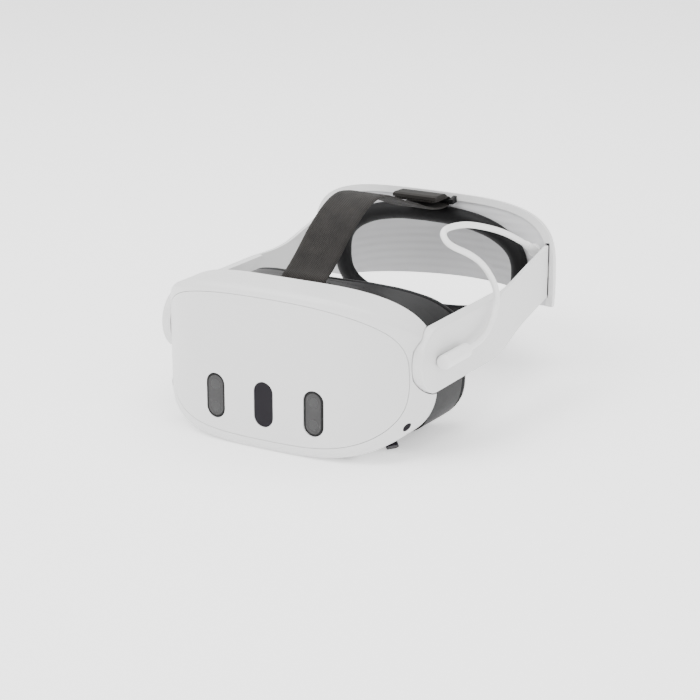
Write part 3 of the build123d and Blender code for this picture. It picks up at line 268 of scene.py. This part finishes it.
def resample(pts, count):
    """Even spacing along a closed 2-D line."""
    d = [0.0]
    for i in range(len(pts)):
        q = pts[(i + 1) % len(pts)]
        d.append(d[-1] + math.dist(pts[i], q))
    out = []
    k = 0
    for i in range(count):
        s = d[-1] * i / count
        while d[k + 1] < s:
            k += 1
        f = (s - d[k]) / max(1e-9, d[k + 1] - d[k])
        a, b = pts[k], pts[(k + 1) % len(pts)]
        out.append((a[0] + (b[0] - a[0]) * f, a[1] + (b[1] - a[1]) * f))
    return out


def ring_piece(name, outline, section, depth, mat, wrinkle=0.0, seed=0.0):
    """A closed pad swept round an X-Z outline.  section is a closed list of
    (inward, along y) in mm, depth(x, z) is the y that the section starts at."""
    verts, faces = [], []
    m, k = len(outline), len(section)
    for i, (x, z) in enumerate(outline):
        xa, za = outline[i - 3]
        xb, zb = outline[(i + 3) % m]
        tx, tz = xb - xa, zb - za
        L = math.hypot(tx, tz)
        nx, nz = -tz / L, tx / L
        for j, (w, dy) in enumerate(section):
            px, pz = x + nx * w, z + nz * w
            y = depth(x, z) + dy
            if wrinkle:
                s = noise.noise(Vector((px * 0.07 + seed, y * 0.05, pz * 0.07)))
                f = noise.noise(Vector((px * 0.35 + seed, y * 0.3, pz * 0.35)))
                amt = wrinkle * (0.7 * s + 0.3 * f)
                px -= nx * amt * 0.5
                pz -= nz * amt * 0.5
                y += amt * (0.5 if dy > 2 else 0.0)
            verts.append(V(px, y, pz))
    for i in range(m):
        for j in range(k):
            a = i * k + j
            b = i * k + (j + 1) % k
            c = ((i + 1) % m) * k + (j + 1) % k
            d = ((i + 1) % m) * k + j
            faces.append((a, b, c, d))
    ob = new_mesh(name, verts, faces, mat)
    fix_normals(ob)
    return ob


def strap_piece(name, path, half_w, thick, mat, edge_wave=0.0, u0=0.0):
    """Flat webbing along a path in the Y-Z plane, with thin rolled edges."""
    verts, faces, uvs = [], [], []
    prof = []
    nw = 14
    for i in range(nw + 1):
        s = -1 + 2 * i / nw
        x = half_w * s
        t = thick / 2 * (1 - 0.55 * abs(s) ** 14)
        prof.append((x, t))
    loop = [(x, t) for x, t in prof] + [(x, -t) for x, t in reversed(prof)]
    k = len(loop)
    run = u0
    for i, (y, z) in enumerate(path):
        a, b = path[max(0, i - 1)], path[min(len(path) - 1, i + 1)]
        ty, tz = b[0] - a[0], b[1] - a[1]
        L = math.hypot(ty, tz)
        ny, nz = -tz / L, ty / L
        if i:
            run += math.dist(path[i - 1], path[i])
        for x, t in loop:
            s = x / half_w
            crown = edge_wave * (1 - s * s) * math.sin(run * 0.045 + 0.8)
            wob = edge_wave * 0.5 * noise.noise(Vector((x * 0.05, run * 0.03, 3.1)))
            o = t + crown * 0.4 + wob
            verts.append(V(x, y + ny * o, z + nz * o))
            uvs.append((x / 1000.0, run / 1000.0))
    n = len(path)
    for i in range(n - 1):
        for j in range(k):
            a = i * k + j
            b = i * k + (j + 1) % k
            faces.append((a, b, b + k, a + k))
    faces.append(tuple(range(k)))
    faces.append(tuple(range((n - 1) * k, n * k))[::-1])
    ob = new_mesh(name, verts, faces, mat, uvs=uvs)
    fix_normals(ob)
    return ob, run


def catmull(pts, per=8):
    out = []
    n = len(pts)
    for i in range(n - 1):
        p0, p1, p2, p3 = pts[max(0, i - 1)], pts[i], pts[i + 1], pts[min(n - 1, i + 2)]
        for s in range(per):
            t = s / per
            out.append(tuple(0.5 * (2 * p1[c] + (p2[c] - p0[c]) * t + (2 * p0[c] - 5 * p1[c] + 4 * p2[c] - p3[c]) * t * t
                                    + (3 * p1[c] - p0[c] - 3 * p2[c] + p3[c]) * t ** 3) for c in range(2)))
    out.append(tuple(pts[-1]))
    return out


# ---------------------------------------------------------------- power lead
ROUTE = [
    (75, 192, 91), (75.4, 179, 97.2), (76.5, 155, 107.5), (78, 128, 116.5), (79.5, 102, 124),
    (80.6, 83, 127.4), (81.2, 69, 128.6), (83.2, 61.8, 127.2), (86.6, 60.8, 122.8), (89.2, 67.0, 118.6),
    (90.6, 80, 112.8), (91.8, 94.5, 104.4), (93.0, 106, 93), (94.3, 111.5, 82.5), (94.6, 110.3, 73.2),
    (94.7, 103.6, 64.8), (94.8, 94.0, 59.4), (94.9, 82, 57.5), (94.9, 71, 57.5)]
cu = bpy.data.curves.new("lead_line", "CURVE")
cu.dimensions = "3D"
sp = cu.splines.new("NURBS")
sp.points.add(len(ROUTE) - 1)
for pt, (x, y, z) in zip(sp.points, ROUTE):
    v = V(x, y, z)
    pt.co = (v.x, v.y, v.z, 1)
sp.order_u = 3
sp.use_endpoint_u = True
sp.resolution_u = 12
tmp = bpy.data.objects.new("lead_line", cu)
bpy.context.collection.objects.link(tmp)
bpy.context.view_layer.update()
line = bpy.data.meshes.new_from_object(tmp)
cu.bevel_depth = 0.0019
cu.bevel_resolution = 5
bpy.context.view_layer.update()
dg = bpy.context.evaluated_depsgraph_get()
tube = bpy.data.meshes.new_from_object(tmp.evaluated_get(dg))
lead = bpy.data.objects.new("power_lead", tube)
bpy.context.collection.objects.link(lead)
tube.materials.clear()
tube.materials.append(M["cable_white"])
tube.polygons.foreach_set("use_smooth", [True] * len(tube.polygons))
bpy.data.objects.remove(tmp)
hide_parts("power_cable")
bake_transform(lead)

# ---------------------------------------------------------------- face cushion
def face_rear(x):
    return 72.0 + 36.0 * (abs(x) / 79.0) ** 2.2


def face_outline(a, b, n, cz, notch, lift, count=220):
    pts = []
    for i in range(720):
        t = 2 * math.pi * i / 720
        c, s = math.cos(t), math.sin(t)
        k = n if s > 0 else 5.0
        r = (abs(c) ** k + abs(s) ** k) ** (-1 / k)
        x, z = a * c * r, b * s * r
        if z < 0:
            z += lift * math.exp(-(abs(x) / notch) ** 2.6)
        pts.append((x, z + cz))
    return resample(pts, count)


pad = [(0.6, 0.2), (-0.3, 2.2), (-0.2, 4.6), (1.2, 6.9), (3.6, 8.4), (6.2, 8.9), (8.8, 8.3), (11.0, 6.6), (12.0, 4.2), (11.8, 1.8), (11.0, 0.2), (6.0, 0.0)]
cushion = ring_piece("face_pad", face_outline(78.6, 44.8, 2.8, 45.3, 20, 26), pad,
                     lambda x, z: face_rear(x) - 8.8, M["cushion"], wrinkle=0.9, seed=2.0)
subdivide(cushion, 1)
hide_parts("face_cushion")
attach(cushion, "face_frame")

# ---------------------------------------------------------------- crown ring
ring_sec = [(0.2, 0.2), (-0.1, 2.6), (0.9, 5.4), (3.2, 7.0), (6.0, 7.5), (8.8, 7.0), (11.0, 5.4), (11.8, 2.8), (11.6, 0.2), (6.0, 0.0)]
ring_out = resample([(x, z + 67.25) for x, z in (superellipse(71.4, 39.1, 2.5, 2 * math.pi * i / 720) for i in range(720))], 200)
ring_ob = ring_piece("crown_pad", ring_out, [(w, -dy) for w, dy in ring_sec], lambda x, z: 205.4, M["cushion"], wrinkle=0.6, seed=7.0)
subdivide(ring_ob, 1)
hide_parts("crown_ring")
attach(ring_ob, "rear_cradle")

# ---------------------------------------------------------------- straps
STRAP = [(45.2, 89.6), (45.3, 92.4), (47.2, 94.6), (50.8, 96.4), (56, 99.9), (63, 105.2), (76, 115.8), (86, 122.2), (95, 126.9), (104, 129.8), (113, 130.6)]
CROWN = [(113, 130.6), (124, 128.8), (135, 124.8), (148, 120.4), (160, 116.4), (172, 111.9), (182, 108.9), (191, 107.6), (198, 107.7), (201.3, 108.4), (202.6, 110.5), (201.3, 112.7), (198, 113.3), (191, 113.2), (181, 113.4)]
full = catmull(STRAP[:-1] + CROWN, 6)
cut = (len(STRAP) - 1) * 6
strap_a, run = strap_piece("front_webbing", full[:cut + 1], 15.0, 1.5, M["webbing"], edge_wave=0.25)
strap_b, _ = strap_piece("crown_webbing", full[cut:], 15.0, 1.5, M["webbing"], edge_wave=0.25, u0=run)
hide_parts("front_strap")
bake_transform(strap_a)
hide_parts("crown_strap")
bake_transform(strap_b)

# ---------------------------------------------------------------- camera windows
M["tint"] = material("tint", (0.016, 0.0155, 0.016), 0.16, spec=0.3, rough_var=0.03, coat=0.3, coat_rough=0.04, mottle=0.12, mottle_scale=160)
M["lens_dot"] = material("lens_dot", (0.007, 0.007, 0.0075), 0.14, spec=0.4, rough_var=0.02, coat=0.4, coat_rough=0.03)


def pill(name, cx, cz, w, h, y, mat, dome=0.06):
    """A shallow domed pill, facing forward."""
    verts, faces, rings = [], [], 5
    count = 64
    for r in range(rings + 1):
        f = 1 - r / rings * 0.999
        for i in range(count):
            t = 2 * math.pi * i / count
            c, s = math.cos(t), math.sin(t)
            x = w / 2 * c
            z = (h - w) / 2 * (1 if s > 0 else -1) + w / 2 * s
            verts.append(V(cx + x * f, y - dome * (1 - f * f), cz + z * f))
    for r in range(rings):
        for i in range(count):
            a, b = r * count + i, r * count + (i + 1) % count
            faces.append((a, b, b + count, a + count))
    faces.append(tuple(rings * count + i for i in range(count)))
    ob = new_mesh(name, verts, faces, mat)
    fix_normals(ob)
    return ob


for side, node in ((1, "left_camera_window"), (-1, "right_camera_window")):
    lo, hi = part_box(node)
    y = (lo[1] - Y0) * 1000
    cx = (lo[0] + hi[0]) * 500
    cz = (lo[2] + hi[2]) * 500
    tag = "left" if side > 0 else "right"
    tint = pill(tag + "_window_tint", cx, cz, 10.2, 24.6, y - 0.02, M["tint"])
    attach(tint, "visor")
    for k, dz in enumerate((6.8, -6.8)):
        dot = pill("%s_window_lens_%d" % (tag, k), cx, cz + dz, 6.4, 6.4, y - 0.07, M["lens_dot"], dome=0.1)
        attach(dot, "visor")

for side in (1, -1):
    p = V(side * 81.4, 24.8, 21.6)
    n = Vector((side * 0.81, -0.585, -0.02)).normalized()
    t = Vector((side * 2.8, 3.8, 3.8))
    t = (t - n * t.dot(n)).normalized()
    b = n.cross(t)
    tag = "left" if side > 0 else "right"
    for part, w, h, lift, dome, mat in (("rim", 3.9, 6.9, 0.05, 0.10, "charcoal"), ("glass", 3.1, 6.0, 0.14, 0.22, "window_black")):
        verts, faces = [], []
        for r in range(7):
            f = 1 - r / 6 * 0.999
            for i in range(48):
                a = 2 * math.pi * i / 48
                o = t * (h / 2 * math.cos(a) * f) + b * (w / 2 * math.sin(a) * f)
                u = o.dot(t) / 3.5
                verts.append(p + (o + n * (lift + dome * (1 - f * f) - 0.05 * u * u - (0.9 if r == 0 and part == "rim" else 0.0))) / 1000)
        for r in range(6):
            for i in range(48):
                j = (i + 1) % 48
                faces.append((r * 48 + i, r * 48 + j, (r + 1) * 48 + j, (r + 1) * 48 + i))
        faces.append(tuple(6 * 48 + i for i in range(48)))
        ob = new_mesh(tag + "_side_camera_" + part, verts, faces, M[mat])
        fix_normals(ob)
        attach(ob, "visor")

# ---------------------------------------------------------------- stage and light
bpy.ops.mesh.primitive_plane_add(size=12, location=(0, 0, 0))
floor = bpy.context.object
floor.name = "floor"
fm = material("floor", (0.93, 0.93, 0.93), 0.8, spec=0.1, grain=0.0, rough_var=0.03)
fp = next(n for n in fm.node_tree.nodes if n.type == "BSDF_PRINCIPLED")
fp.inputs["Emission Color"].default_value = (1, 1, 1, 1)
fp.inputs["Emission Strength"].default_value = 0.55
floor.data.materials.append(fm)

world = bpy.data.worlds.new("world") if not bpy.context.scene.world else bpy.context.scene.world
bpy.context.scene.world = world
world.use_nodes = True
bg = world.node_tree.nodes["Background"]
bg.inputs["Color"].default_value = (1, 1, 1, 1)
bg.inputs["Strength"].default_value = 1.6


def area(name, loc, target, size, power):
    d = bpy.data.lights.new(name, "AREA")
    d.shape = "RECTANGLE"
    d.size = size[0]
    d.size_y = size[1]
    d.energy = power
    o = bpy.data.objects.new(name, d)
    bpy.context.collection.objects.link(o)
    o.location = loc
    o.rotation_euler = (Vector(target) - Vector(loc)).to_track_quat("-Z", "Y").to_euler()
    return o


area("key", (-0.7, -1.0, 1.5), (0, 0, 0.05), (1.2, 1.2), 30)
area("fill", (1.4, -0.8, 0.9), (0, 0, 0.05), (1.2, 1.0), 10)
area("top", (0.0, 0.4, 1.7), (0, 0, 0.05), (1.6, 1.2), 20)

bpy.context.view_layer.update()
